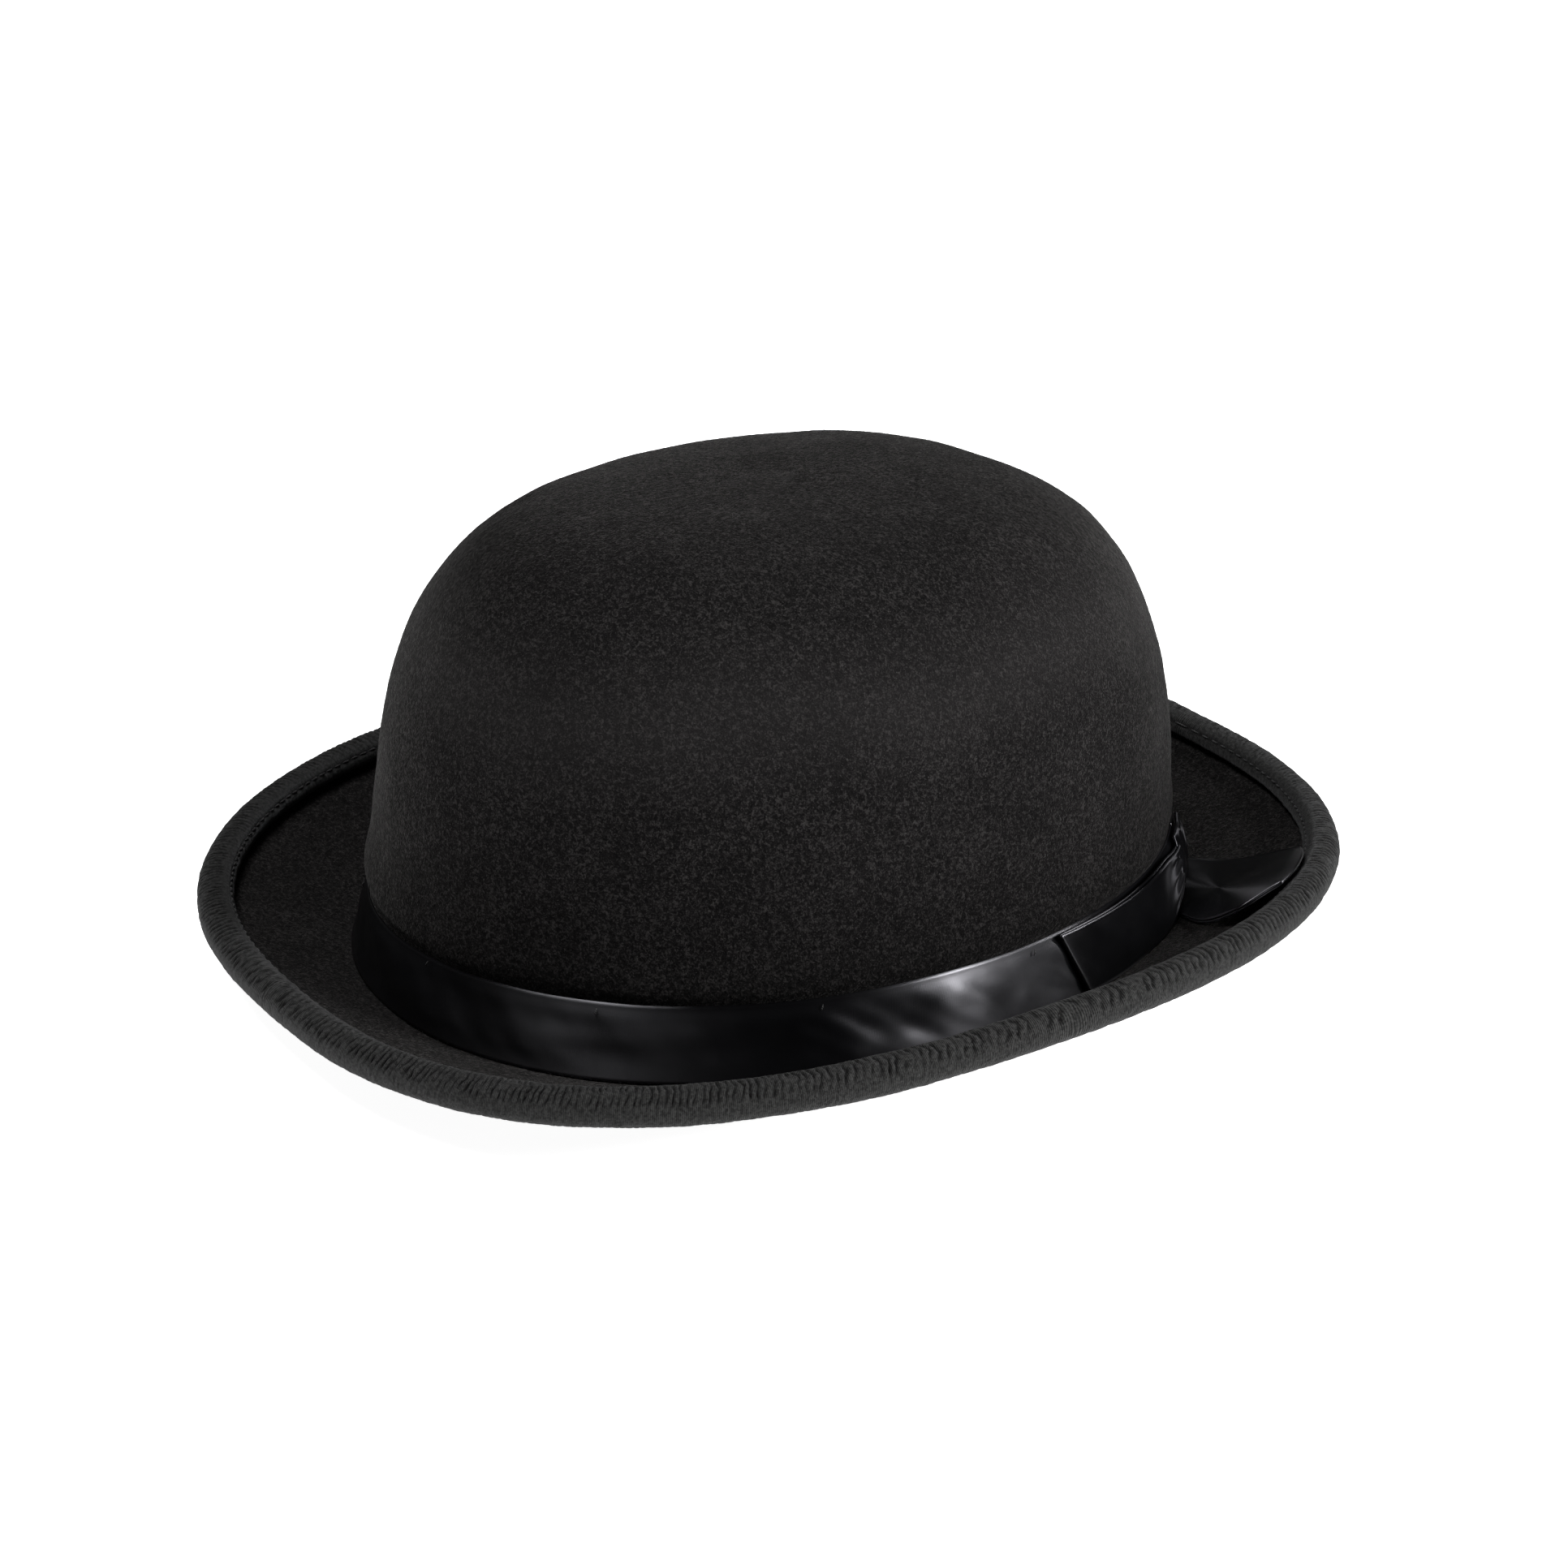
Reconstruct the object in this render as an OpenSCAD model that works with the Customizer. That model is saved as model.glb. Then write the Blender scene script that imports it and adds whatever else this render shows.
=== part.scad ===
// Bowler hat: one blocked felt body with a curled, bound brim edge, a satin
// band with a bow, and a leather sweatband and satin lining inside.
// The hat stands on the flat ring under its brim. +Z is up, the wearer looks
// along -Y and the wearer's left is +X. Angles run from +X towards +Y, so the
// front of the hat is at 270 degrees and the back at 90.

/* [Crown] */
// Length of the crown at its base, front to back
crown_length = 210; // [195:1:222]
// Width of the crown at its base, side to side
crown_width = 170; // [160:1:180]
// Height of the crown above the brim
crown_height = 111.5; // [95:0.5:125]

/* [Brim] */
// Length of the brim between the centres of the rolled edge
brim_length = 273.6; // [262:0.2:285]
// Width of the brim between the centres of the rolled edge
brim_width = 226.6; // [218:0.2:236]
// Height of the rolled edge's centre above the crown base, front and back
rim_rise_ends = 13.2; // [11:0.1:16]
// Height of the rolled edge's centre above the crown base, at the sides
rim_rise_sides = 16.4; // [12:0.1:19]
// Diameter of the rolled edge over its binding
roll_diameter = 8.8; // [8.2:0.1:9.6]

/* [Felt] */
// Thickness of the felt
felt = 2.5; // [2:0.1:2.8]

/* [Ribbons] */
// Height of the hat band
band_height = 18; // [14:0.5:24]
// Thickness of the hat band
band_thickness = 0.8; // [0.6:0.1:1]
// Angle where the bow is tied on, from the wearer's left towards the back
knot_angle = 52; // [48:1:58]
// Thickness of the binding tape
binding_thickness = 0.5; // [0.4:0.05:0.6]

/* [Inside] */
// Height of the sweatband
sweatband_height = 34; // [28:1:40]
// Thickness of the sweatband leather
sweatband_thickness = 1.1; // [0.9:0.1:1.4]
// Thickness of the lining satin
lining_thickness = 0.4; // [0.3:0.1:0.6]

/* [Hidden] */

STEPS = 60;                       // sections around a full ring
gap = 0.15;                       // clearance between neighbouring pieces
crown_power = 2.04;               // superellipse power of the crown's plan
brim_power = 2.46;                // superellipse power of the brim's plan
deck = felt;                      // height of the brim's upper side at the crown
wall_start = deck + 6.5;          // the crown wall is upright below this height
crown_top = deck + crown_height;
fillet = 2;                       // radius where the crown meets the brim
ring_inner = 1.2;                 // resting ring, inside the crown base line
ring_outer = 1;                   // resting ring, outside the crown base line

// Each crown profile is [rise power, round power, taper]
front_profile = [3.23, 4.88, 0.075];
back_profile = [3.51, 3.03, 0.005];
side_profile = [3.38, 3.28, 0.02];

roll_radius = roll_diameter / 2;
curl_outer = roll_radius - binding_thickness - gap / 3;
curl_inner = curl_outer - 2.1;    // the felt is thinner where it curls
curl_turns = [for (i = [0:12]) -60 + i * 21.25];  // underside, over the top, to the raw edge
tape_tail = 0.86;                 // the binding reaches in under the brim to here

wire_radius = 0.7;
joiner_radius = 1.4;
joiner_length = 12;

thread_radius = 0.25;
stitch_length = 2.2;

band_foot = deck + 1.3;           // height of the band's lower edge
band_lean = 1.6;                  // how far the band's lower edge stands off the crown

bow_height = 17;
front_wing_end = 14;              // angle where the front wing ends
loop_thickness = 2.4;             // a flattened loop of ribbon, both layers

lining_inset = felt + gap;
lining_foot = 2.5;                // turn of the crown where the lining starts
lining_seam = 42;                 // turn of the crown where the lining's side meets its tip
sweat_inset = lining_inset + lining_thickness + gap;
sweat_foot = 1.4;
sweat_lean = 2.1;                 // how far the foot stands off for the reed
reed_radius = 0.8;
reed_tape_radius = 1.2;
reed_height = 3.4;
reed_inset = felt + gap + reed_tape_radius;

FELT = [0.12, 0.115, 0.115];
SATIN = [0.06, 0.06, 0.07];
TAPE = [0.17, 0.17, 0.18];
THREAD = [0.22, 0.22, 0.23];
LEATHER = [0.2, 0.13, 0.09];
LINING = [0.1, 0.1, 0.12];
STEEL = [0.6, 0.61, 0.63];
REED = [0.85, 0.84, 0.8];
LABEL = [0.9, 0.9, 0.88];

// ---- plan curves and heights ----

function signed_power(v, p) = sign(v) * pow(abs(v), p);

// Point of a superellipse at an angle
function oval(a, length, width, power) = [
    width / 2 * signed_power(cos(a), 2 / power),
    length / 2 * signed_power(sin(a), 2 / power)
];

function profile_scale(v, p) = pow(max(0, 1 - pow(v, p[0])), 1 / p[1]) * (1 - p[2] * v);

// How far the crown has drawn in at a height fraction v
function crown_scale(v, a) =
    let (end = pow(sin(a), 2))
    end * profile_scale(v, sin(a) < 0 ? front_profile : back_profile)
    + (1 - end) * profile_scale(v, side_profile);

// Point on the crown, moved in by inset (out when it is negative)
function crown_point(a, z, inset = 0) =
    let (v = max(0, z - wall_start) / (crown_top - inset - wall_start))
    let (p = oval(a, crown_length - 2 * inset, crown_width - 2 * inset, crown_power))
    let (s = crown_scale(min(1, v), a))
    [p.x * s, p.y * s, z];

function rim_oval(a) = oval(a, brim_length, brim_width, brim_power);

function rim_height(a) =
    deck + rim_rise_ends * pow(sin(a), 2) + rim_rise_sides * pow(cos(a), 2);

// Centre of the rolled edge
function rim_point(a) = [rim_oval(a).x, rim_oval(a).y, rim_height(a)];

// Outward direction of the rolled edge, level
function rim_normal(a) =
    let (t = rim_oval(a + 0.5) - rim_oval(a - 0.5))
    [t.y, -t.x, 0] / norm(t);

// Outward direction of the crown base, level
function crown_normal(a) =
    let (t = oval(a + 0.5, crown_length, crown_width, crown_power)
           - oval(a - 0.5, crown_length, crown_width, crown_power))
    [t.y, -t.x, 0] / norm(t);

// Height of the brim's underside at a fraction u of the way to the rim
function underside_height(a, u) = (rim_height(a) - 1.07 * curl_outer) * pow(u, 1.1);

// Point of the brim, h above its underside
function brim_point(a, u, h) =
    let (c = oval(a, crown_length, crown_width, crown_power))
    let (r = rim_oval(a))
    [c.x + (r.x - c.x) * u, c.y + (r.y - c.y) * u, underside_height(a, u) + h];

// Point at a radius and a turn angle around the centre of the rolled edge
function roll_point(a, radius, turn) =
    rim_point(a) + radius * cos(turn) * rim_normal(a) + [0, 0, radius * sin(turn)];

// Crown height at which the wall has turned by phi degrees towards the top
function dome_height(phi, inset = 0) =
    wall_start + (crown_top - inset - wall_start) * pow(sin(phi), 0.59);

function dome_ring(phi, inset) =
    [for (a = ring_angles()) crown_point(a, dome_height(phi, inset), inset)];

// ---- solids made of rings ----

// Solid through a row of closed rings, either joined end to end or capped
module skin(rings, joined = false) {
    n = len(rings[0]);
    m = len(rings);
    spans = joined ? m : m - 1;
    sides = [
        for (k = [0:spans - 1], i = [0:n - 1])
        let (next = ((k + 1) % m) * n, j = (i + 1) % n)
        [k * n + i, k * n + j, next + j, next + i]
    ];
    caps = joined ? [] : [
        [for (i = [n - 1:-1:0]) i],
        [for (i = [0:n - 1]) (m - 1) * n + i]
    ];
    polyhedron([for (r = rings) each r], concat(sides, caps), convexity = 8);
}

function ring_angles(steps = STEPS) = [for (i = [0:steps - 1]) i * 360 / steps];

// Round cord that follows a closed path of points, with its outward directions
module ring_cord(centre, outward, radius, sides = 8) {
    skin([
        for (i = [0:len(centre) - 1])
        [for (k = [0:sides - 1])
            centre[i] + radius * (cos(k * 360 / sides) * outward[i] + [0, 0, sin(k * 360 / sides)])]
    ], joined = true);
}

// One stitch of thread, centred, lying along the direction of heading
module stitch(at, heading, lean = 0, length = stitch_length) {
    translate(at)
        rotate([0, 0, heading])
        rotate([0, lean, 0])
        rotate([0, 90, 0])
        cylinder(h = length, r = thread_radius, center = true, $fn = 16);
}

function heading_of(normal) = atan2(normal.y, normal.x) + 90;

// ---- felt ----

module felt_body() {
    dome = concat(0, lining_foot, [for (phi = [7:7:84]) phi], 88);
    last = len(dome) - 1;
    outer = [for (i = [last:-1:0]) dome_ring(dome[i], 0)];
    foot = [
        [for (a = ring_angles()) crown_point(a, deck + fillet)],
        [for (a = ring_angles()) crown_point(a, deck + 0.3 * fillet, -0.3 * fillet)]
    ];
    brim_top = [for (u = [0.09, 0.27, 0.5, 0.74]) [for (a = ring_angles()) brim_point(a, u, felt)]];
    curl_in = [for (i = [0:2:12]) [for (a = ring_angles()) roll_point(a, curl_inner, curl_turns[i])]];
    curl_out = [for (i = [12:-1:0]) [for (a = ring_angles()) roll_point(a, curl_outer, curl_turns[i])]];
    brim_under = [for (u = [tape_tail, 0.68, 0.46, 0.24]) [for (a = ring_angles()) brim_point(a, u, 0)]];
    rest = [
        [for (a = ring_angles()) crown_base(a, ring_outer, 0)],
        [for (a = ring_angles()) crown_base(a, -ring_inner, 0)],
        [for (a = ring_angles()) crown_base(a, -felt, felt / 2)]
    ];
    inner = [for (phi = dome) dome_ring(phi, felt)];
    color(FELT) skin(concat(outer, foot, brim_top, curl_in, curl_out, brim_under, rest, inner));
}

// Point beside the crown base line
function crown_base(a, out, z) = concat(oval(a, crown_length + 2 * out, crown_width + 2 * out, crown_power), z);

// ---- brim edge ----

module brim_wire() {
    color(STEEL) ring_cord(
        [for (a = ring_angles()) rim_point(a)],
        [for (a = ring_angles()) rim_normal(a)],
        wire_radius
    );
}

module wire_joiner() {
    color(STEEL)
        translate(rim_point(90))
        rotate([0, 90, 0])
        difference() {
            cylinder(h = joiner_length, r = joiner_radius, center = true, $fn = 32);
            cylinder(h = joiner_length + 1, r = wire_radius + 2 * gap, center = true, $fn = 32);
        }
}

// Tape folded over the rolled edge and on under the brim
module edge_binding() {
    last = len(curl_turns) - 1;
    sections = [
        for (a = ring_angles()) concat(
            [brim_point(a, tape_tail, -gap - binding_thickness)],
            [for (t = curl_turns) roll_point(a, roll_radius, t)],
            [for (i = [last:-1:0]) roll_point(a, roll_radius - binding_thickness, curl_turns[i])],
            [brim_point(a, tape_tail, -gap)]
        )
    ];
    color(TAPE) skin(sections, joined = true);
}

// Running stitch along the binding's inner edge
module binding_stitches() {
    count = 240;
    color(THREAD)
        for (i = [0:count - 1])
            let (a = i * 360 / count)
            stitch(roll_point(a, roll_radius + thread_radius + gap, 150), heading_of(rim_normal(a)));
}

// ---- hat band and bow ----

// Clearance of the band's inner face: it leans out towards its lower edge
function band_clearance(h) = gap + band_lean * pow(1 - h / band_height, 1.6);

module hat_band() {
    levels = [0, 0.3, 0.65, 1] * band_height;
    sections = [
        for (i = [0:STEPS])
        let (a = knot_angle + 0.2 + i * 359.6 / STEPS)
        concat(
            [for (h = levels) crown_point(a, band_foot + h, -band_clearance(h) - band_thickness)],
            [for (i = [3:-1:0]) crown_point(a, band_foot + levels[i], -band_clearance(levels[i]))]
        )
    ];
    color(SATIN) skin(sections);
}

// Small tack stitches that hold the band's upper edge to the crown
module band_stitches() {
    tacks = 12;
    color(THREAD)
        for (i = [0:tacks - 1])
            let (a = knot_angle + (i + 0.5) * 360 / tacks)
            stitch(crown_point(a, band_foot + band_height + 0.6, -thread_radius - gap),
                   heading_of(crown_normal(a)));
}

// How far the band's outer face stands off the crown at a height
function band_face(z) =
    let (h = max(0, min(band_height, z - band_foot)))
    band_clearance(h) + band_thickness + 2 * gap;

// Flattened loop that lies along the band
module bow_front_wing() {
    stations = 12;
    start = knot_angle - 5;
    sections = [
        for (i = [0:stations])
        let (s = i / stations, a = start + (front_wing_end - start) * s)
        let (body = pow(sin(180 * (0.12 + 0.8 * s)), 0.6))
        let (half = bow_height / 2 * (0.72 + 0.28 * min(1, 4 * s)))
        let (thick = 1 + (loop_thickness - 1) * body)
        let (mid = band_foot + band_height / 2)
        [
            wing_point(a, mid - half, 1.1),
            wing_point(a, mid - 0.7 * half, 1.1 + thick),
            wing_point(a, mid + 0.7 * half, 0.2 + thick),
            wing_point(a, mid + half, 0.2),
            wing_point(a, mid, 0.4)
        ]
    ];
    color(SATIN) skin([for (s = sections) [for (i = [4:-1:0]) s[i]]]);
}

// Point beside the band's outer face
function wing_point(a, z, out) = crown_point(a, z, -band_face(z) - out);

// Front and rear edges of the rear wing, as angles, at a fraction u across the brim
function wing_front_edge(u) = knot_angle - 21 + 18 * pow(1 - min(1, u), 2.2);
function wing_rear_edge(u) = knot_angle + 12 - 20.5 * u;

// Height of the rear wing: it lies on the brim and climbs the rolled edge
function wing_height(a, u) =
    let (climb = max(0, min(1, (u - 0.62) / 0.3)))
    let (step = rim_height(a) + roll_radius - underside_height(a, u) - felt)
    underside_height(a, u) + felt + gap + 0.6 + step * climb * climb * (3 - 2 * climb);

module bow_rear_wing() {
    stations = 10;
    across = 6;
    sections = [
        for (k = [0:stations])
        let (u = 0.13 + 0.9 * k / stations)
        let (front = wing_front_edge(u), rear = wing_rear_edge(u))
        concat(
            [for (i = [0:across])
                let (a = front + (rear - front) * i / across)
                flat_point(a, u, wing_height(a, u))],
            [for (i = [across:-1:0])
                let (a = front + (rear - front) * i / across)
                let (swell = i == 0 || i == across ? 0.7 : 1.8)
                flat_point(a, u, wing_height(a, u) + swell)]
        )
    ];
    color(SATIN) skin([for (s = sections) [for (i = [len(s) - 1:-1:0]) s[i]]]);
}

function flat_point(a, u, z) = [brim_point(a, u, 0).x, brim_point(a, u, 0).y, z];

// Strap of ribbon that gathers the two wings
module bow_knot() {
    steps = 5;
    reach = 4.4;
    sections = [
        for (i = [0:steps])
        let (a = knot_angle - reach + i * 2 * reach / steps)
        let (bulge = 1.3 + 1.2 * sin(180 * i / steps))
        [
            wing_point(a, band_foot + 2.6, 0),
            wing_point(a, band_foot + 3.2, bulge),
            wing_point(a, band_foot + band_height / 2, bulge + 0.6),
            wing_point(a, band_foot + band_height - 1, bulge - 0.2),
            wing_point(a, band_foot + band_height - 0.4, 0)
        ]
    ];
    color(SATIN) skin(sections);
}

// Stitches that hold the knot down on its rear side
module bow_stitches() {
    color(THREAD)
        for (z = [0.3, 0.5, 0.7])
            stitch(wing_point(knot_angle + 5.6, band_foot + z * band_height, 0.5),
                   heading_of(crown_normal(knot_angle)), 90, 1.8);
}

// ---- sweatband ----

// The sweatband stands off the wall at its foot, where the reed lies behind it
function sweat_clearance(z) =
    sweat_inset + sweat_lean * max(0, min(1, 1 - (z - sweat_foot - 4.2) / 9));

module sweatband() {
    levels = [for (h = [0, 4.2, 9, 13.2, sweatband_height]) sweat_foot + h];
    back_gap = 0.3;
    sections = [
        for (i = [0:STEPS])
        let (a = 90 + back_gap + i * (360 - 2 * back_gap) / STEPS)
        concat(
            [for (z = levels) crown_point(a, z, sweat_clearance(z))],
            [for (i = [4:-1:0]) crown_point(a, levels[i], sweat_clearance(levels[i]) + sweatband_thickness)]
        )
    ];
    color(LEATHER) skin(sections);
}

// Point just inside the sweatband's inner face
function sweat_face(a, z, out = 0) =
    crown_point(a, z, sweat_clearance(z) + sweatband_thickness + gap + out);

// Slanted stitches across the sweatband's back seam
module sweatband_back_stitches() {
    rows = 7;
    color(THREAD)
        for (i = [0:rows - 1])
            stitch(sweat_face(90, sweat_foot + 12 + 3 * i, thread_radius + gap), 0, i % 2 == 0 ? 35 : -35, 2.6);
}

module sweatband_reed() {
    color(REED) ring_cord(
        [for (a = ring_angles(48)) crown_point(a, reed_height, reed_inset)],
        [for (a = ring_angles(48)) crown_normal(a)],
        reed_radius
    );
}

// Narrow tape folded round the reed and sewn to the sweatband's foot
module reed_tape() {
    turns = [for (t = [-210:42:42]) t];
    sections = [
        for (a = ring_angles(48)) concat(
            [for (t = turns) tape_point(a, reed_tape_radius, t)],
            [for (i = [len(turns) - 1:-1:0]) tape_point(a, reed_radius + gap / 2, turns[i])]
        )
    ];
    color(TAPE) skin(sections, joined = true);
}

function tape_point(a, radius, turn) =
    crown_point(a, reed_height, reed_inset)
    + radius * cos(turn) * crown_normal(a) + [0, 0, radius * sin(turn)];

module sweatband_stitches() {
    count = 140;
    color(THREAD)
        for (i = [0:count - 1])
            let (a = (i + 0.5) * 360 / count)
            stitch(sweat_face(a, sweat_foot + 4, thread_radius), heading_of(crown_normal(a)));
}

// Flat bow that covers the sweatband's back seam
module sweatband_bow() {
    half = 11;
    end = 3.2;
    waist = 1.4;
    knot = 2;
    color(SATIN)
        translate([0, sweat_face(90, sweat_foot + 6).y - 1.6, sweat_foot + 7.5])
        rotate([90, 0, 0]) {
            linear_extrude(1)
                polygon([
                    [-half, -end], [-knot, -waist], [knot, -waist], [half, -end],
                    [half, end], [knot, waist], [-knot, waist], [-half, end]
                ]);
            translate([-knot, -knot, -0.4]) cube([2 * knot, 2 * knot, 1.8]);
        }
}

// Blank woven label on the sweatband, beside its back seam
module size_label() {
    label_width = 14;
    label_height = 10;
    label_thickness = 0.5;
    label_rise = 24;
    a = 122;
    color(LABEL)
        translate(sweat_face(a, sweat_foot + label_rise, 1.2))
        rotate([0, 0, heading_of(crown_normal(a))])
        rotate([90, 0, 0])
        linear_extrude(label_thickness, center = true)
        offset(r = 1)
        square([label_width - 2, label_height - 2], center = true);
}

// ---- lining ----

// Thin shell that follows the crown's inside from one turn of the crown to another
function lining_shell(turns) = concat(
    [for (i = [len(turns) - 1:-1:0]) dome_ring(turns[i], lining_inset)],
    [for (phi = turns) dome_ring(phi, lining_inset + lining_thickness)]
);

module lining_side() {
    turns = concat(lining_foot, [for (phi = [7:7:lining_seam - 7]) phi], lining_seam - 0.2);
    color(LINING) skin(lining_shell(turns), joined = true);
}

module lining_tip() {
    turns = concat(lining_seam + 0.2, [for (phi = [lining_seam + 7:7:84]) phi], 88);
    color(LINING) skin(lining_shell(turns));
}

// Stitches that join the lining's side to its tip
module lining_stitches() {
    count = 96;
    inset = lining_inset + lining_thickness + 3 * gap + thread_radius;
    color(THREAD)
        for (i = [0:count - 1])
            let (a = i * 360 / count)
            stitch(crown_point(a, dome_height(lining_seam - 1.5, inset), inset),
                   heading_of(crown_normal(a)));
}

felt_body();
brim_wire();
wire_joiner();
edge_binding();
binding_stitches();
hat_band();
band_stitches();
bow_front_wing();
bow_rear_wing();
bow_knot();
bow_stitches();
sweatband();
sweatband_back_stitches();
sweatband_reed();
reed_tape();
sweatband_stitches();
sweatband_bow();
size_label();
lining_side();
lining_tip();
lining_stitches();
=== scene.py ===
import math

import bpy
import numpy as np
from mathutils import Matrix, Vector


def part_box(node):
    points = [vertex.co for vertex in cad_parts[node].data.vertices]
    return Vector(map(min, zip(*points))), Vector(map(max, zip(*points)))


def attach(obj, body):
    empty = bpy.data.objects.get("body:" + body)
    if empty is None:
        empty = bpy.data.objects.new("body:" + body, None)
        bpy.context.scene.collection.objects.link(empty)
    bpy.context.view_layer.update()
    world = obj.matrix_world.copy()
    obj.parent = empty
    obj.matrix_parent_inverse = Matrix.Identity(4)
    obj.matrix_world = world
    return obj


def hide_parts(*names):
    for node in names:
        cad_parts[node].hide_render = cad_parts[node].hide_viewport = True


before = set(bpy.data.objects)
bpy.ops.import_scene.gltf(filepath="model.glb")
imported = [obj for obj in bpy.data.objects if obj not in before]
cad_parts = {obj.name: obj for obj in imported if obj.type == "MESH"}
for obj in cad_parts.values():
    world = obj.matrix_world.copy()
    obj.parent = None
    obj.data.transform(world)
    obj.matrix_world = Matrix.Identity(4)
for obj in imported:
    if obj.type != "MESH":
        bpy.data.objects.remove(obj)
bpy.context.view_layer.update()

# The bowler hat's looks: felt, ribbons, leather and lining modelled in full round the CAD frame.
# Lengths are in metres. Angles round the hat run in degrees from +X, the wearer's left, towards
# +Y, the back. Grids of points run along a ribbon or ring first, then across it.

MM = 0.001
FINE = 1.0     # how finely the meshes are cut

# ---------------------------------------------------------------- sizes, from the frame

wire_low, wire_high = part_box("brim_wire")
reed_low, reed_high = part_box("sweatband_reed")
_, felt_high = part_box("felt_body")
_, binding_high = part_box("edge_binding")
band_low, band_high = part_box("hat_band")
sweat_low, sweat_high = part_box("sweatband")
label_low, label_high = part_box("size_label")

WIRE_RADIUS = 0.7 * MM
FELT = 2.5 * MM                       # thickness of the felt
REED_DEPTH = 3.05 * MM                # from the crown's outside in to the reed
CROWN = (reed_high.x + REED_DEPTH, reed_high.y + REED_DEPTH)
RIM = (wire_high.x - WIRE_RADIUS, wire_high.y - WIRE_RADIUS)
RIM_Z_ENDS = wire_low.z + WIRE_RADIUS
RIM_Z_SIDES = wire_high.z - WIRE_RADIUS
ROLL = binding_high.y - RIM[1]        # radius of the rolled edge over its binding
CURL = felt_high.y - RIM[1]           # radius of the felt inside it
CURL_INNER = CURL - 2.1 * MM
TAPE = 0.5 * MM
CROWN_TOP = FELT + 111.5 * MM
WALL_START = FELT + 6.5 * MM
BAND_FOOT = band_low.z
BAND_HEIGHT = band_high.z - band_low.z
BAND_TOP = BAND_FOOT + BAND_HEIGHT
BAND_THICKNESS = 0.8 * MM
BAND_LEAN = 3.0 * MM                  # how far the band's foot stands off the crown
BAND_SLIP = 3.2 * MM                  # how far its top edge has slipped down at one place
SLIP_ANGLE = 232                      # angle of that place
SATIN = 0.35 * MM                     # thickness of the ribbons as sewn on
GAP = 0.15 * MM
LINING_INSET = FELT + GAP
SWEAT_INSET = LINING_INSET + 0.4 * MM + GAP
SWEAT_THICKNESS = 1.1 * MM
SWEAT_FOOT = sweat_low.z
REED_Z = (reed_low.z + reed_high.z) / 2
REED_INSET = 3.85 * MM
KNOT = 52                             # angle where the bow is tied
WING_END = 14                         # angle where its front wing ends
LINING_SEAM = 42                      # turn of the crown where the lining's side meets its tip
BRIM_EDGE_FOLD = 0.86                 # how far across the brim's underside the binding starts

CROWN_POWER = 2.04                    # squareness of the two ovals: 2 is a plain ellipse
BRIM_POWER = 2.46
# The crown's profiles, each with the two powers of its dome and then its taper.
FRONT_PROFILE = (3.23, 4.88, 0.075)
BACK_PROFILE = (3.51, 3.03, 0.005)
SIDE_PROFILE = (3.38, 3.28, 0.02)
UP = np.array([0.0, 0.0, 1.0])


# ---------------------------------------------------------------- the hat's surfaces, as in the CAD

def signed_power(v, p):
    return np.sign(v) * np.abs(v) ** p


def oval(a, half, power):
    """Point at angle a on a superellipse with the given half width and half length."""
    a = np.radians(a)
    x = half[0] * signed_power(np.cos(a), 2 / power)
    y = half[1] * signed_power(np.sin(a), 2 / power)
    return np.stack([x, y, np.zeros_like(x)], axis=-1)


def oval_normal(a, half, power):
    """Level unit vector that points straight out of the oval at angle a."""
    along = oval(a + 0.5, half, power) - oval(a - 0.5, half, power)
    n = np.stack([along[..., 1], -along[..., 0], along[..., 2]], axis=-1)
    return n / np.linalg.norm(n, axis=-1, keepdims=True)


def profile_scale(v, p):
    """How far the crown has narrowed at a fraction v of its height: 1 at its foot, 0 at its top."""
    return np.maximum(0, 1 - v ** p[0]) ** (1 / p[1]) * (1 - p[2] * v)


def crown_point(a, z, inset=0.0):
    """Point on the crown, moved in by inset, or out when it is negative."""
    a, z, inset = np.broadcast_arrays(np.asarray(a, float), z, inset)
    v = np.clip((z - WALL_START) / (CROWN_TOP - inset - WALL_START), 0, 1)
    end = np.sin(np.radians(a))
    ends = np.where(end < 0, profile_scale(v, FRONT_PROFILE), profile_scale(v, BACK_PROFILE))
    scale = end ** 2 * ends + (1 - end ** 2) * profile_scale(v, SIDE_PROFILE)
    p = oval(a, (CROWN[0] - inset, CROWN[1] - inset), CROWN_POWER) * scale[..., None]
    return p + z[..., None] * UP


def crown_normal(a):
    return oval_normal(a, CROWN, CROWN_POWER)


def rim_z(a):
    """Height of the middle of the rolled edge, which rises from the hat's two ends to its sides."""
    end = np.sin(np.radians(a)) ** 2
    return RIM_Z_ENDS * end + RIM_Z_SIDES * (1 - end)


def roll_point(a, radius, turn):
    """Point round the centre of the rolled edge: turn 0 faces outward and 90 faces up."""
    a, radius, turn = np.broadcast_arrays(np.asarray(a, float), radius, turn)
    t = np.radians(turn)[..., None]
    centre = oval(a, RIM, BRIM_POWER) + rim_z(a)[..., None] * UP
    return centre + radius[..., None] * (np.cos(t) * oval_normal(a, RIM, BRIM_POWER) + np.sin(t) * UP)


def underside_z(a, u):
    """Height of the brim's underside at a fraction u of the way out."""
    return (rim_z(a) - 1.07 * CURL) * np.maximum(u, 0) ** 1.1


def brim_point(a, u, height):
    """Point at a fraction u of the way across the brim, at a height above its underside."""
    a, u, height = np.broadcast_arrays(np.asarray(a, float), u, height)
    inner = oval(a, CROWN, CROWN_POWER)
    outer = oval(a, RIM, BRIM_POWER)
    return inner + (outer - inner) * u[..., None] + (underside_z(a, u) + height)[..., None] * UP


def dome_z(phi, inset=0.0):
    """Height where the crown has turned by phi degrees towards its top."""
    return WALL_START + (CROWN_TOP - inset - WALL_START) * np.sin(np.radians(phi)) ** 0.59


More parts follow.
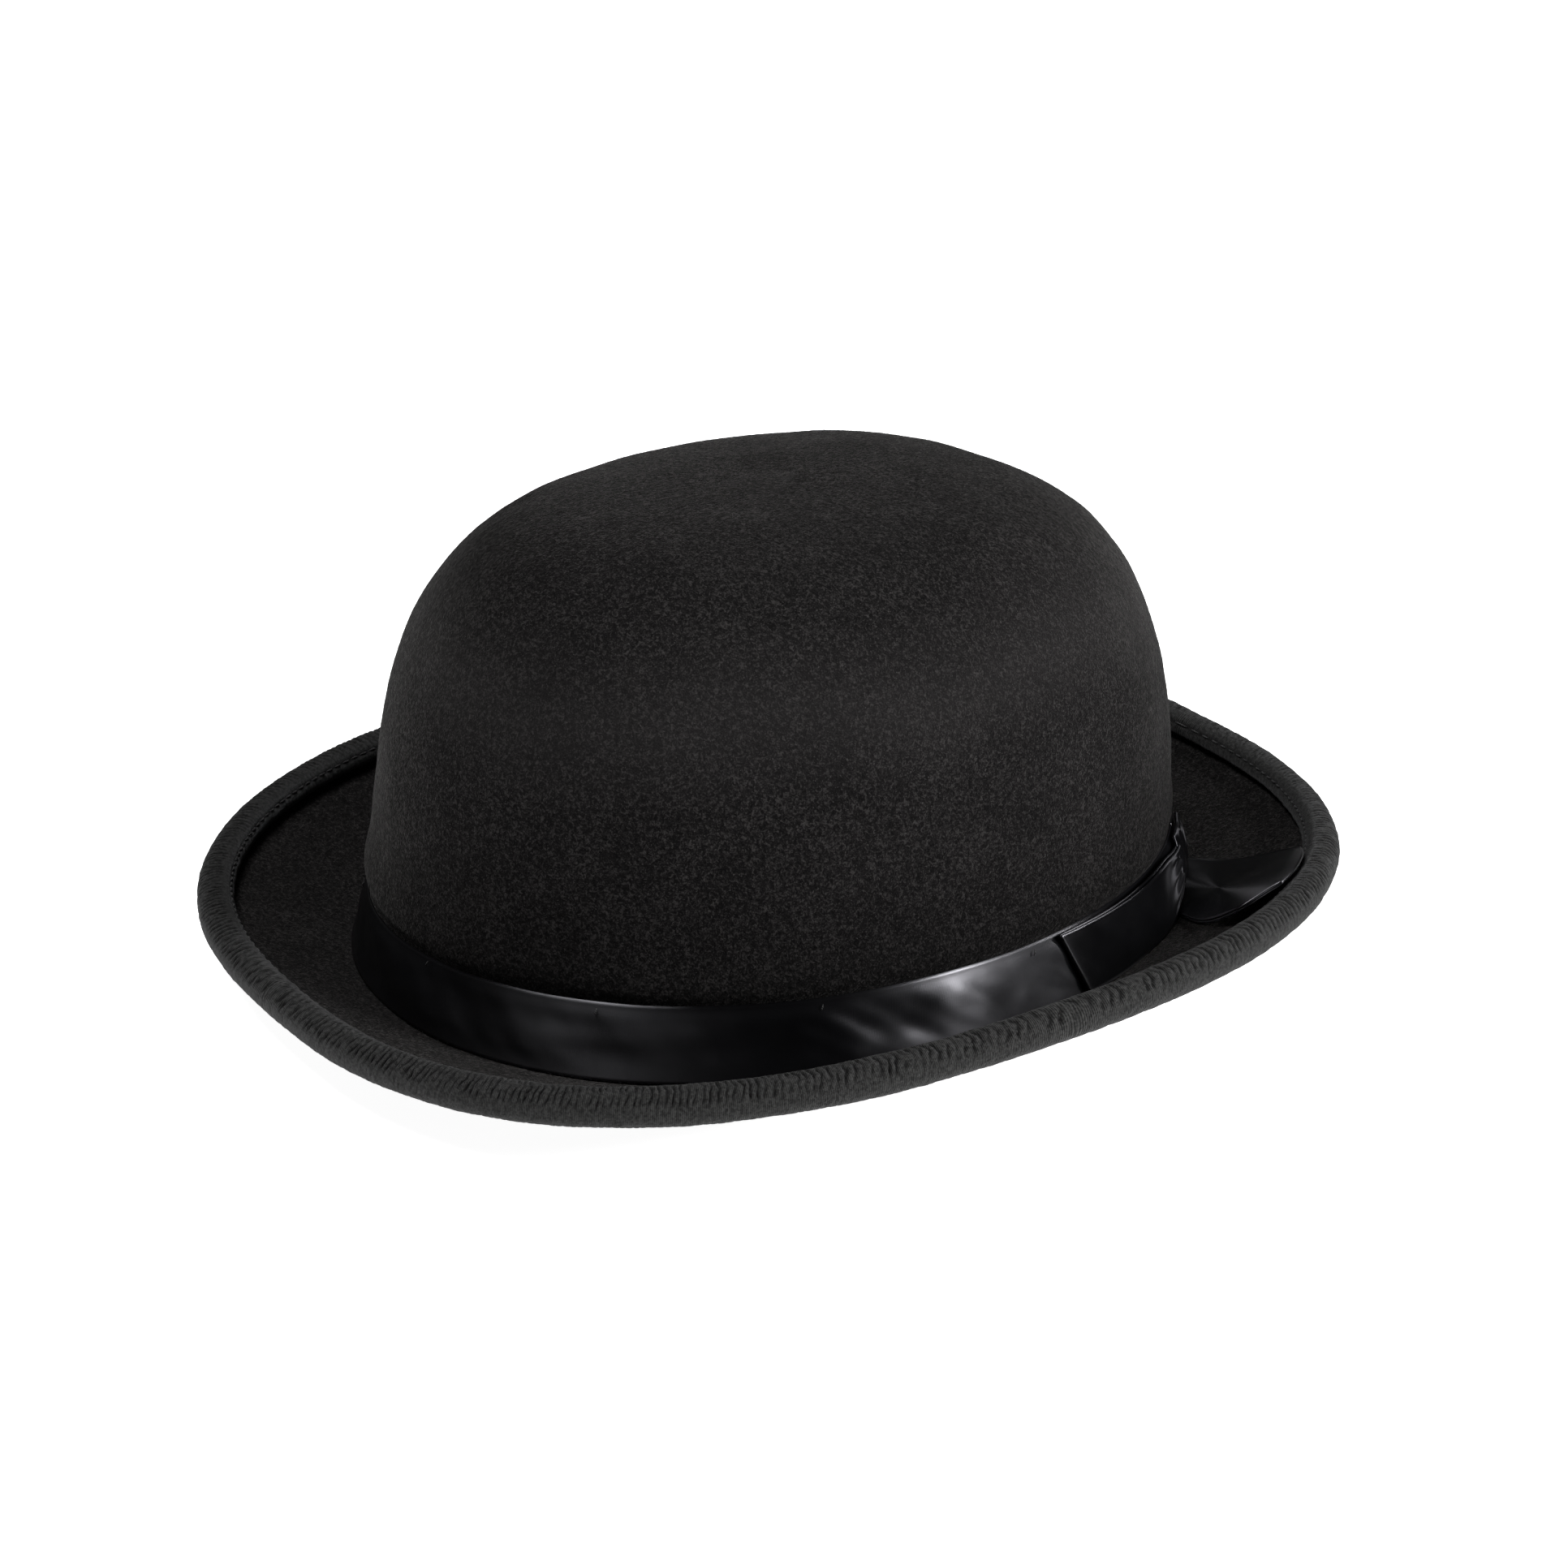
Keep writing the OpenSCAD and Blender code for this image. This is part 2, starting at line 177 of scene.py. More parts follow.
def band_face(z):
    """How far the band's outer face stands off the crown."""
    h = np.clip(z - BAND_FOOT, 0, BAND_HEIGHT) / BAND_HEIGHT
    return 3 * GAP + BAND_THICKNESS + BAND_LEAN * (1 - h) ** 1.15


def sweat_inset(z):
    """How far the sweatband's outer face lies inside the crown's outside."""
    return SWEAT_INSET + 2.1 * MM * np.clip(1 - (z - SWEAT_FOOT - 4.2 * MM) / (9 * MM), 0, 1)


# ---------------------------------------------------------------- helpers for shapes

def waves(p, length, seed, count=9):
    """Smooth, repeatable unevenness of about -1 to 1, its bumps about length apart."""
    rng = np.random.default_rng(seed)
    total = np.zeros(p.shape[:-1])
    for _ in range(count):
        wave = rng.normal(size=3)
        wave *= 2 * math.pi / (length * rng.uniform(0.7, 1.6)) / np.linalg.norm(wave)
        total += np.sin(p @ wave + rng.uniform(0, 2 * math.pi))
    return total / math.sqrt(count)


def smooth(x, low, high):
    """Rises softly from 0 at low to 1 at high."""
    t = np.clip((x - low) / (high - low), 0, 1)
    return t * t * (3 - 2 * t)


def steps(low, high, count):
    return np.linspace(low, high, max(4, int(count * FINE)))


def ring_angles(count):
    count = int(count * FINE)
    return np.arange(count) * 360 / count


def length_of(points):
    return float(np.linalg.norm(np.diff(points, axis=0), axis=1).sum())


def grid_normals(p, wrap_rows=False, wrap_cols=False):
    def step(axis, wrap):
        if wrap:
            return np.roll(p, -1, axis) - np.roll(p, 1, axis)
        return np.gradient(p, axis=axis)
    n = np.cross(step(0, wrap_rows), step(1, wrap_cols))
    return n / np.maximum(np.linalg.norm(n, axis=-1, keepdims=True), 1e-12)


def new_object(name, verts, faces):
    mesh = bpy.data.meshes.new(name)
    mesh.from_pydata(verts, [], faces)
    mesh.polygons.foreach_set("use_smooth", [True] * len(faces))
    mesh.update()
    obj = bpy.data.objects.new(name, mesh)
    bpy.context.scene.collection.objects.link(obj)
    return obj


def grid_object(name, p, wrap_rows=False, wrap_cols=True, length=None, across=None):
    """Closed mesh of a grid of points. length and across give its cloth map, in metres."""
    rows, cols = p.shape[:2]
    r = np.arange(rows if wrap_rows else rows - 1)
    c = np.arange(cols if wrap_cols else cols - 1)
    r, c = (i.ravel() for i in np.meshgrid(r, c, indexing="ij"))
    r2, c2 = (r + 1) % rows, (c + 1) % cols
    faces = np.stack([r * cols + c, r2 * cols + c, r2 * cols + c2, r * cols + c2], axis=-1)
    caps = []
    if not wrap_rows:
        caps = [list(range(cols)), [(rows - 1) * cols + i for i in range(cols - 1, -1, -1)]]
    obj = new_object(name, p.reshape(-1, 3).tolist(), faces.tolist() + caps)
    if length is not None:
        along = np.stack([r, r + 1, r + 1, r], axis=-1) * (length / (rows - 1))
        over = np.asarray(across)[np.stack([c, c, c2, c2], axis=-1)]
        uv = np.zeros((len(obj.data.loops), 2), np.float32)
        uv[:faces.size] = np.stack([along.ravel(), over.ravel()], axis=-1)
        obj.data.uv_layers.new(name="Cloth").data.foreach_set("uv", uv.ravel())
    return obj


def ribbon(name, middle, thickness, closed=False, selvedge=0.0):
    """A thin strip of cloth or leather round a middle surface, thicker by selvedge at its two edges."""
    n = grid_normals(middle, closed)
    across = np.linspace(0, 1, middle.shape[1])
    half = thickness / 2 + selvedge * np.clip(8 * np.abs(across - 0.5) - 3.2, 0, 1)
    front = middle + n * half[:, None]
    back = middle - n * half[:, None]
    width = length_of(middle[0])
    over = np.concatenate([across, across[::-1]]) * width
    p = np.concatenate([front, back[:, ::-1]], axis=1)
    length = length_of(middle[:, middle.shape[1] // 2])
    return grid_object(name, p, wrap_rows=closed, length=length, across=over)


def there_and_back(width, out_count, back_count):
    """Cloth map across a flat tube: over its outer face, then back over its inner one."""
    return np.concatenate([np.linspace(0, width, out_count), np.linspace(width, 0, back_count)])


def loop_path(count):
    """Path of a flattened ribbon loop, as columns: how far along, which layer, and how far round the fold."""
    along = np.linspace(0, 1, count)
    fold = np.radians(np.linspace(-90, 90, 9)[1:-1])
    s = np.concatenate([along, np.ones(len(fold)), along[::-1]])
    layer = np.concatenate([np.zeros(count), (1 + np.sin(fold)) / 2, np.ones(count)])
    tip = np.concatenate([np.zeros(count), np.cos(fold), np.zeros(count)])
    return s[:, None], layer[:, None], tip[:, None]


def threads(name, paths, radius, sides=6):
    """One mesh of many short sewing stitches, thinner at both ends."""
    verts, faces = [], []
    turn = np.linspace(0, 2 * math.pi, sides, endpoint=False)[None, :, None]
    for path in paths:
        along = np.gradient(path, axis=0)
        along /= np.linalg.norm(along, axis=1, keepdims=True)
        spare = UP if abs(along[len(path) // 2][2]) < 0.9 else np.array([1.0, 0.0, 0.0])
        side = np.cross(along, spare)
        side /= np.linalg.norm(side, axis=1, keepdims=True)
        other = np.cross(side, along)
        taper = np.sin(np.linspace(0.25, math.pi - 0.25, len(path))) ** 0.4
        ring = np.cos(turn) * side[:, None] + np.sin(turn) * other[:, None]
        first = sum(len(v) for v in verts)
        verts.append((path[:, None] + radius * taper[:, None, None] * ring).reshape(-1, 3))
        for r in range(len(path) - 1):
            a, b = first + r * sides, first + (r + 1) * sides
            faces += [(a + i, b + i, b + (i + 1) % sides, a + (i + 1) % sides) for i in range(sides)]
        faces.append(tuple(first + i for i in range(sides)))
        faces.append(tuple(first + (len(path) - 1) * sides + i for i in range(sides - 1, -1, -1)))
    return new_object(name, np.concatenate(verts).tolist(), faces)


def stitch(surface, a_from, a_to, z_from, z_to, rise=0.3 * MM, points=7):
    """Path of one stitch that comes up through a surface, arches over it and goes back in."""
    t = np.linspace(0, 1, points)
    lift = rise * np.sin(math.pi * t) ** 0.7 - 0.15 * MM
    return surface(a_from + (a_to - a_from) * t, z_from + (z_to - z_from) * t, lift)


def stitch_ring(surface, count, half_angle, height, rise=0.3 * MM, first=0.0):
    """Paths of evenly spaced stitches all the way round, at one height."""
    middles = [(i + first) * 360 / count for i in range(count)]
    return [stitch(surface, at - half_angle, at + half_angle, height, height, rise) for at in middles]


def piece(obj, look, slot, *nodes):
    obj.data.materials.append(look)
    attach(obj, "root")
    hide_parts(*nodes)
    return obj


# ---------------------------------------------------------------- materials

class Look:
    """A Principled material with short ways to add its nodes."""

    def __init__(self, name):
        self.material = bpy.data.materials.new(name)
        self.material.use_nodes = True
        self.tree = self.material.node_tree
        self.shader = self.tree.nodes["Principled BSDF"]
        self.place = self.node("ShaderNodeTexCoord").outputs["Object"]

    def node(self, kind, inputs=(), **settings):
        made = self.tree.nodes.new(kind)
        for key, value in settings.items():
            setattr(made, key, value)
        for key, value in dict(inputs).items():
            self.put(made.inputs[key], value)
        return made

    def put(self, socket, value):
        if isinstance(value, bpy.types.NodeSocket):
            self.tree.links.new(value, socket)
        else:
            socket.default_value = value

    def set(self, **inputs):
        for key, value in inputs.items():
            self.put(self.shader.inputs[key.replace("_", " ")], value)

    def cloth(self):
        return self.node("ShaderNodeUVMap", uv_map="Cloth").outputs["UV"]

    def noise(self, scale, detail=2.0, roughness=0.5, distortion=0.0, stretch=(1, 1, 1)):
        vector = self.node("ShaderNodeMapping", {"Vector": self.place, "Scale": stretch}).outputs["Vector"]
        inputs = {"Vector": vector, "Scale": scale, "Detail": detail, "Roughness": roughness,
                  "Distortion": distortion}
        return self.node("ShaderNodeTexNoise", inputs).outputs["Fac"]

    def stripes(self, vector, pitch, direction):
        inputs = {"Vector": vector, "Scale": math.pi / 10 / pitch}
        return self.node("ShaderNodeTexWave", inputs, bands_direction=direction).outputs["Fac"]

    def math(self, operation, a, b=0.0):
        return self.node("ShaderNodeMath", {0: a, 1: b}, operation=operation).outputs[0]

    def blend(self, parts):
        """Weighted sum of (weight, value) parts."""
        total = 0.0
        for weight, value in parts:
            total = self.math("ADD", total, self.math("MULTIPLY", value, weight))
        return total

    def spread(self, value, low, high, to_low, to_high):
        inputs = {"Value": value, "From Min": low, "From Max": high, "To Min": to_low, "To Max": to_high}
        return self.node("ShaderNodeMapRange", inputs).outputs["Result"]

    def colours(self, factor, stops):
        made = self.node("ShaderNodeValToRGB", {"Fac": factor})
        ramp = made.color_ramp
        while len(ramp.elements) < len(stops):
            ramp.elements.new(0.5)
        for element, (position, rgb) in zip(ramp.elements, stops):
            element.position = position
            element.color = (*rgb, 1)
        return made.outputs["Color"]

    def mix(self, factor, a, b):
        made = self.node("ShaderNodeMix", data_type="RGBA")
        for socket, value in zip((made.inputs[0], made.inputs[6], made.inputs[7]), (factor, a, b)):
            self.put(socket, value)
        return made.outputs[2]

    def bump(self, height, depth, strength=1.0, under=None):
        made = self.node("ShaderNodeBump", {"Height": height, "Strength": strength, "Distance": depth})
        if under is not None:
            self.put(made.inputs["Normal"], under)
        return made.outputs["Normal"]


def felt_look():
    """Brushed wool felt: near black, with a curly short nap, stray pale fibres and a painted band of light
    round the upper crown.
    """
    look = Look("wool_felt")
    mottle = look.noise(70, 4, 0.6)
    nap = look.noise(1050, 1, 0.6, distortion=0.8)
    grain = look.noise(2500, 1, 0.6, distortion=0.6)
    tone = look.blend([(0.12, mottle), (0.5, nap), (0.38, grain)])
    base = look.colours(tone, [(0.37, (0.0012, 0.0011, 0.0011)), (0.5, (0.0040, 0.0037, 0.0037)),
                               (0.65, (0.0215, 0.0200, 0.0198))])
    stray = look.spread(look.noise(3300, 1, 0.6, distortion=1.0), 0.64, 0.74, 0, 0.7)
    base = look.mix(stray, base, (0.045, 0.043, 0.042, 1))
    # Painted light: a lighter band painted round the upper crown, where the light catches the felt.
    light_band_height = 0.83 * CROWN_TOP
    height = look.node("ShaderNodeSeparateXYZ", {"Vector": look.place}).outputs["Z"]
    wander = look.math("MULTIPLY", look.noise(14, 2), 20 * MM)
    above_ring = look.math("SUBTRACT", look.math("ADD", height, wander), light_band_height)
    painted_light_band = look.spread(look.math("ABSOLUTE", above_ring), 2 * MM, 17 * MM, 0.16, 0.0)
    base = look.mix(painted_light_band, base, (0.034, 0.032, 0.032, 1))
    sheen = look.spread(tone, 0.38, 0.64, 0.04, 0.105)
    relief = look.blend([(0.55, nap), (0.45, grain)])
    normal = look.bump(relief, 0.5 * MM, 0.9, look.bump(mottle, 0.5 * MM, 0.25))
    look.set(Base_Color=base, Roughness=0.97, Normal=normal, Sheen_Weight=sheen, Sheen_Roughness=0.3,
             Sheen_Tint=(0.86, 0.84, 0.82, 1), Specular_IOR_Level=0.08)
    return look.material


def satin_look(name, base, roughness, gloss):
    """Satin ribbon: glossy across its threads, with a fine weave and a faint watery unevenness."""
    look = Look(name)
    cloth = look.cloth()
    weft, warp = look.stripes(cloth, 0.35 * MM, "X"), look.stripes(cloth, 0.16 * MM, "Y")
    weave = look.blend([(0.6, weft), (0.4, warp)])
    watery = look.noise(45, 3, 0.55)
    tone = look.spread(watery, 0.3, 0.7, 0.0, 1.0)
    dark = (*[v * 0.7 for v in base], 1)
    light = (*[v * 1.5 for v in base], 1)
    soft_dents = look.bump(look.noise(120, 2), 0.15 * MM, 0.3)
    normal = look.bump(weave, 0.012 * MM, 0.5, soft_dents)
    tangent = look.node("ShaderNodeTangent", direction_type="RADIAL", axis="Z").outputs["Tangent"]
    look.set(Base_Color=look.mix(tone, dark, light), Normal=normal, Tangent=tangent,
             Roughness=look.spread(watery, 0.3, 0.7, roughness - 0.03, roughness + 0.05),
             Anisotropic=0.95, Anisotropic_Rotation=0.25, Specular_IOR_Level=gloss,
             Specular_Tint=(0.94, 0.93, 1.0, 1))
    return look.material


def tape_look(name, base, sheen):
    """Matt ribbed tape: dull cotton threads that catch a little light, with painted shade between the ribs
    and in the sewn groove.
    """
    look = Look(name)
    cloth = look.cloth()
    sunk = look.node("ShaderNodeAttribute", attribute_name="sunk").outputs["Fac"]
    fuzz = look.noise(1400, 1, 0.7, distortion=0.5)
    threads_across = look.stripes(cloth, 0.33 * MM, "X")
    tone = look.blend([(0.75, fuzz), (0.25, threads_across)])
    dark = (*[v * 0.2 for v in base], 1)
    light = (*[v * 3.4 for v in base], 1)
    relief = look.blend([(0.5, fuzz), (0.5, threads_across)])
    cotton = look.mix(look.spread(tone, 0.32, 0.68, 0, 1), dark, light)
    # Painted shade: darker where the tape is sunk, between the ribs and in the groove.
    shaded = look.mix(look.math("MULTIPLY", sunk, 0.95), cotton, (0.001, 0.001, 0.001, 1))
    look.set(Base_Color=shaded, Roughness=0.88, Normal=look.bump(relief, 0.25 * MM, 0.8),
             Sheen_Weight=sheen, Sheen_Roughness=0.4, Sheen_Tint=(0.85, 0.85, 0.88, 1),
             Specular_IOR_Level=0.15)
    return look.material


def thread_look(name, dark, light):
    look = Look(name)
    twist = look.stripes(look.place, 0.3 * MM, "DIAGONAL")
    tone = look.blend([(0.6, twist), (0.4, look.noise(3000, 2))])
    look.set(Base_Color=look.colours(tone, [(0.25, dark), (0.75, light)]), Roughness=0.6,
             Normal=look.bump(twist, 0.08 * MM), Sheen_Weight=0.1, Specular_IOR_Level=0.3)
    return look.material


def leather_look():
    """Polished sweatband leather: fine pored grain, darker creases and lighter patches rubbed by wear."""
    look = Look("sweatband_leather")
    cells = look.node("ShaderNodeTexVoronoi", {"Vector": look.place, "Scale": 900.0},
                      feature="DISTANCE_TO_EDGE").outputs["Distance"]
    grain = look.spread(cells, 0.0, 0.14, 0.0, 1.0)
    wear = look.noise(38, 5, 0.62)
    base = look.colours(wear, [(0.32, (0.020, 0.011, 0.007)), (0.5, (0.040, 0.022, 0.013)),
                               (0.7, (0.070, 0.040, 0.024))])
    base = look.mix(look.spread(grain, 0, 1, 0.45, 0), base, (0.010, 0.006, 0.004, 1))
    normal = look.bump(grain, 0.06 * MM, 0.6, look.bump(wear, 0.7 * MM, 0.3))
    look.set(Base_Color=base, Roughness=look.spread(wear, 0.3, 0.7, 0.34, 0.52), Normal=normal,
             Specular_IOR_Level=0.45)
    return look.material


def metal_look():
    look = Look("drawn_steel")
    marks = look.noise(800, 3, stretch=(1, 1, 4))
    base = look.colours(marks, [(0.3, (0.34, 0.34, 0.35)), (0.7, (0.56, 0.56, 0.58))])
    look.set(Base_Color=base, Metallic=1.0, Roughness=look.spread(marks, 0.3, 0.7, 0.25, 0.42),
             Normal=look.bump(marks, 0.03 * MM))
    return look.material


def reed_look():
    look = Look("plastic_reed")
    cloudy = look.noise(220, 3)
    base = look.colours(cloudy, [(0.3, (0.58, 0.55, 0.47)), (0.7, (0.74, 0.72, 0.65))])
    look.set(Base_Color=base, Roughness=look.spread(cloudy, 0.3, 0.7, 0.35, 0.5),
             Normal=look.bump(cloudy, 0.1 * MM, 0.5))
    return look.material


def label_look():
    """Plain woven label cloth."""
    look = Look("woven_label")
    cloth = look.cloth()
    weave = look.blend([(0.5, look.stripes(cloth, 0.28 * MM, way)) for way in ("X", "Y")])
    tone = look.blend([(0.6, weave), (0.4, look.noise(400, 3))])
    base = look.colours(tone, [(0.2, (0.42, 0.41, 0.37)), (0.8, (0.70, 0.69, 0.64))])
    look.set(Base_Color=base, Roughness=0.8, Normal=look.bump(weave, 0.06 * MM), Sheen_Weight=0.1)
    return look.material


FELT_LOOK = felt_look()
SATIN_LOOK = satin_look("band_satin", (0.0014, 0.0014, 0.0017), 0.31, 0.75)
LINING_LOOK = satin_look("lining_satin", (0.010, 0.010, 0.013), 0.42, 0.5)
TAPE_LOOK = tape_look("binding_tape", (0.0095, 0.0095, 0.0093), 0.065)
THREAD_LOOK = thread_look("black_thread", (0.006, 0.006, 0.006), (0.03, 0.03, 0.031))


# ---------------------------------------------------------------- felt

def felt_rings(a):
    """The felt's outline as rings of points: down the crown, out over the brim, round and back inside."""

    def dome(turns, inset):
        return [crown_point(a, dome_z(phi, inset), inset) for phi in turns]

    turns = np.concatenate([steps(0.1, 6, 34)[:-1], steps(6, 86, 150), [87.3, 88.4, 89.3]])
    wall_foot = np.linspace(WALL_START - 0.5 * MM, FELT + 2.5 * MM, 4)
    bend = 1.9 * MM
    bend_top = FELT + 2.1 * MM
    bend_turns = np.radians(np.linspace(0, 90, 6))
    opening = [(1.0, 0.0), (0.2, 0.0), (-1.2, 0.0), (-2.1, 0.45), (-2.5, 1.25)]
    return {
        "crown": dome(turns[::-1], 0.0) + [crown_point(a, z) for z in wall_foot],
        "bend": [crown_point(a, bend_top - bend * math.sin(t), -bend * (1 - math.cos(t)))
                 for t in bend_turns],
        "brim_top": [brim_point(a, u, FELT) for u in steps(0.1, 0.78, 40)],
        "curl_inside": [roll_point(a, CURL_INNER, t) for t in np.arange(-60, 196, 25.5)],
        "curl_outside": [roll_point(a, CURL, t) for t in np.arange(195, -61, -12.75)],
        "brim_under": [brim_point(a, u, 0.0) for u in steps(BRIM_EDGE_FOLD, 0.06, 36)],
        "opening": [crown_point(a, z * MM, -out * MM) for out, z in opening],
        "inside": dome(np.linspace(0, 88.7, 30), FELT),
    }


def felt_relief(p, part):
    """How far the felt stands out of its smooth outline, in millimetres: dents, bulges and nap."""
    crown = part == "crown"
    brim_top = part == "brim_top"
    over_band = p[..., 2] - BAND_TOP
    over_band_fade = smooth(over_band, -1.2 * MM, 2.4 * MM)
    bulge = np.exp(-((over_band - 4 * MM) / (6 * MM)) ** 2)
    dents = 0.30 * waves(p, 60 * MM, 3) + 0.10 * waves(p, 17 * MM, 4)
    long_ripple = waves(p * np.array([0.3, 0.3, 1]), 48 * MM, 9)
    below_top = 1 - smooth(p[..., 2], 0.8 * CROWN_TOP, 0.95 * CROWN_TOP)
    uneven = dents + 0.4 * long_ripple * below_top
    nap = np.random.default_rng(7).normal(size=p.shape[:2]).clip(-2, 2) * 0.04
    napped = crown & (over_band > 1 * MM) | brim_top | (part == "brim_under")
    relief = np.where(crown, over_band_fade * (bulge + uneven), 0)
    relief = relief + np.where(brim_top, 0.12 * waves(p, 35 * MM, 5), 0)
    return relief + np.where(napped, nap, 0)


def build_felt():
    """Crown, brim and curl: one shell, slightly uneven as blocked felt is, with a fine raised nap."""
    rings = felt_rings(ring_angles(620))
    p = np.stack([ring for group in rings.values() for ring in group])
    part = np.repeat(list(rings), [len(group) for group in rings.values()])[:, None]
    p = p + grid_normals(p, wrap_cols=True) * (felt_relief(p, part) * MM)[..., None]
    piece(grid_object("felt_crown_and_brim", p), FELT_LOOK, "felt", "felt_body")


# ---------------------------------------------------------------- brim edge

def rib_relief(outside, across, ribs_along):
    """How far the binding rises and how deep it is sunk, in millimetres, by ribs, groove and bead."""
    wander = 0.12 * waves(outside, 14 * MM, 11) + 0.13 * waves(outside, 2.6 * MM, 15)
    slant = 2.6 * np.abs(across - 0.52)
    phase = ribs_along + wander + slant
    between_ribs = np.exp(-((phase % 1 - 0.5) / 0.19) ** 2)
    fade_at_edges = smooth(across, -0.1, -0.04) * (1 - smooth(across, 0.97, 1.0))
    on_top = smooth(across, 0.30, 0.40) * (1 - smooth(across, 0.62, 0.72))
    rib_depth = (0.16 + 0.84 * on_top) * (0.8 + 0.45 * waves(outside, 3.5 * MM, 12)) * fade_at_edges
    groove = np.exp(-((across - 0.84) / 0.022) ** 2)
    bead = np.exp(-((across - 0.945) / 0.045) ** 2)
    sunk = 0.5 * between_ribs * rib_depth + 0.32 * groove
    uneven = 0.07 * waves(outside, 26 * MM, 13) + 0.05 * waves(outside, 3 * MM, 14)
    return 0.05 - sunk + 0.12 * bead + uneven, sunk


def build_binding():
    """Coarse ribbed tape folded over the rolled edge, with its sewn groove and raised inner edge."""
    ribs, per_rib = 450, int(8 * FINE)
    a = (np.arange(ribs * per_rib) * 360 / (ribs * per_rib))[:, None]
    turns = np.linspace(-60, 195, 46)
    under = brim_point(a, np.linspace(BRIM_EDGE_FOLD, 0.95, 4), -0.65 * MM)
    outside = np.concatenate([under, roll_point(a, ROLL, turns)], axis=1)
    inside = np.concatenate([roll_point(a, ROLL - TAPE, turns[::-5]),
                             brim_point(a, np.linspace(0.94, BRIM_EDGE_FOLD, 3), -0.15 * MM)], axis=1)
    across = np.concatenate([np.linspace(-0.1, -0.02, 4), (turns + 60) / 255])
    lift, sunk = rib_relief(outside, across, np.arange(len(a))[:, None] / per_rib)
    outside = outside + grid_normals(outside, wrap_rows=True) * (lift * MM)[..., None]
    width = length_of(outside[0])
    round_rim = length_of(roll_point(a[:, 0], ROLL, 0.0))
    obj = grid_object("edge_binding_tape", np.concatenate([outside, inside], axis=1), wrap_rows=True,
                      length=round_rim, across=there_and_back(width, outside.shape[1], inside.shape[1]))
    # Painted shade: how deep each point is sunk, stored for the tape's colour to darken.
    deepest = 0.45
    shade = np.concatenate([sunk, np.zeros(inside.shape[:2])], axis=1).clip(0, deepest) / deepest
    obj.data.attributes.new("sunk", "FLOAT", "POINT").data.foreach_set("value", shade.ravel())
    piece(obj, TAPE_LOOK, "binding", "edge_binding")


def build_binding_stitches():
    groove_turn = 153

    def groove_surface(at, turn, lift):
        return roll_point(at, ROLL + lift - 0.1 * MM, turn)

    paths = stitch_ring(groove_surface, 240, 0.48, groove_turn)
    piece(threads("binding_seam_stitches", paths, 0.22 * MM), THREAD_LOOK, "thread", "binding_stitches")


# ---------------------------------------------------------------- band and bow

def build_band():
    """Satin ribbon pulled round the crown: it leans out at its foot and has a few soft wrinkles."""
    a = np.linspace(KNOT + 0.2, KNOT + 359.8, int(1300 * FINE))[:, None]
    h = np.linspace(0, 1, 22)
    slipped = BAND_SLIP * np.exp(-((a - SLIP_ANGLE) / 38) ** 2)
    z = BAND_FOOT + (BAND_HEIGHT - slipped) * h
    out = BAND_THICKNESS / 2 + GAP + (BAND_LEAN + 0.35 * slipped) * (1 - h) ** 1.15
    middle = crown_point(a, z, -out)
    slanted = middle * np.array([1, 1, 1.6]) + np.stack([0 * a, 0 * a, a * 0.9 * MM], axis=-1)
    wrinkles = 0.30 * waves(slanted, 24 * MM, 21) + 0.09 * waves(slanted, 8 * MM, 22)
    wrinkles = wrinkles * smooth(np.minimum(h, 1 - h), 0, 0.3)
    belly = 0.35 * smooth(h, 0.2, 0.6) * (1 - smooth(h, 0.8, 1))
    pulled_in = 0.2 + 0.15 * smooth(h, 0.85, 1)
    edge_wave = 0.12 * waves(middle, 30 * MM, 23) * smooth(h, 0.7, 1.0)
    middle = middle + crown_normal(a) * ((wrinkles + belly - pulled_in) * MM)[..., None]
    middle = middle + edge_wave[..., None] * MM * UP
    obj = ribbon("satin_band", middle, SATIN, selvedge=0.02 * MM)
    piece(obj, SATIN_LOOK, "satin", "hat_band")


def build_band_tacks():
    def band_surface(at, z, lift):
        return crown_point(at, z, -band_face(z) - lift)

    tacks = 12
    places = [KNOT + (i + 0.5) * 360 / tacks for i in range(tacks)]
    low, high = BAND_TOP - 2.6 * MM, BAND_TOP - 1.2 * MM
    paths = [stitch(band_surface, at, at + 0.25, low, high) for at in places]
    piece(threads("band_tacks", paths, 0.16 * MM), THREAD_LOOK, "thread", "band_stitches")


def build_front_wing():
    """Flattened loop of ribbon that lies forward along the band and is gathered at the knot."""
    start = KNOT - 3.5
    s, layer, tip = loop_path(int(90 * FINE))
    across = np.linspace(-1, 1, 20)
    slanted_end = 2.2 * s ** 4 * across
    a = start + (WING_END - start) * s - 0.4 * tip - slanted_end
    gathered = 1 - smooth(s, 0.0, 0.3)
    half_width = 0.47 * BAND_HEIGHT * (1 - 0.34 * gathered)
    z = BAND_FOOT + 0.53 * BAND_HEIGHT + half_width * across
    body = 0.35 + 0.8 * np.sin(math.pi * np.clip(0.1 + 0.86 * s, 0, 1)) ** 0.8
    lean = 0.35 * across * smooth(s, 0.05, 0.3) * (1 - smooth(s, 0.6, 1))
    pleats = gathered * 0.3 * np.sin(across * 9.5)
    stand_off = 0.6 - 0.35 * smooth(s, 0.7, 1.0)
    spot = crown_point(a, z, 0)
    creases = 0.16 * waves(spot, 17 * MM, 31) + 0.02 * waves(spot, 6 * MM, 32)
    out = stand_off + layer * body + lean + pleats + layer * creases
    middle = crown_point(a, z, -band_face(z) - out * MM)
    obj = ribbon("bow_front_loop", middle, SATIN, selvedge=0.07 * MM)
    piece(obj, SATIN_LOOK, "satin", "bow_front_wing")


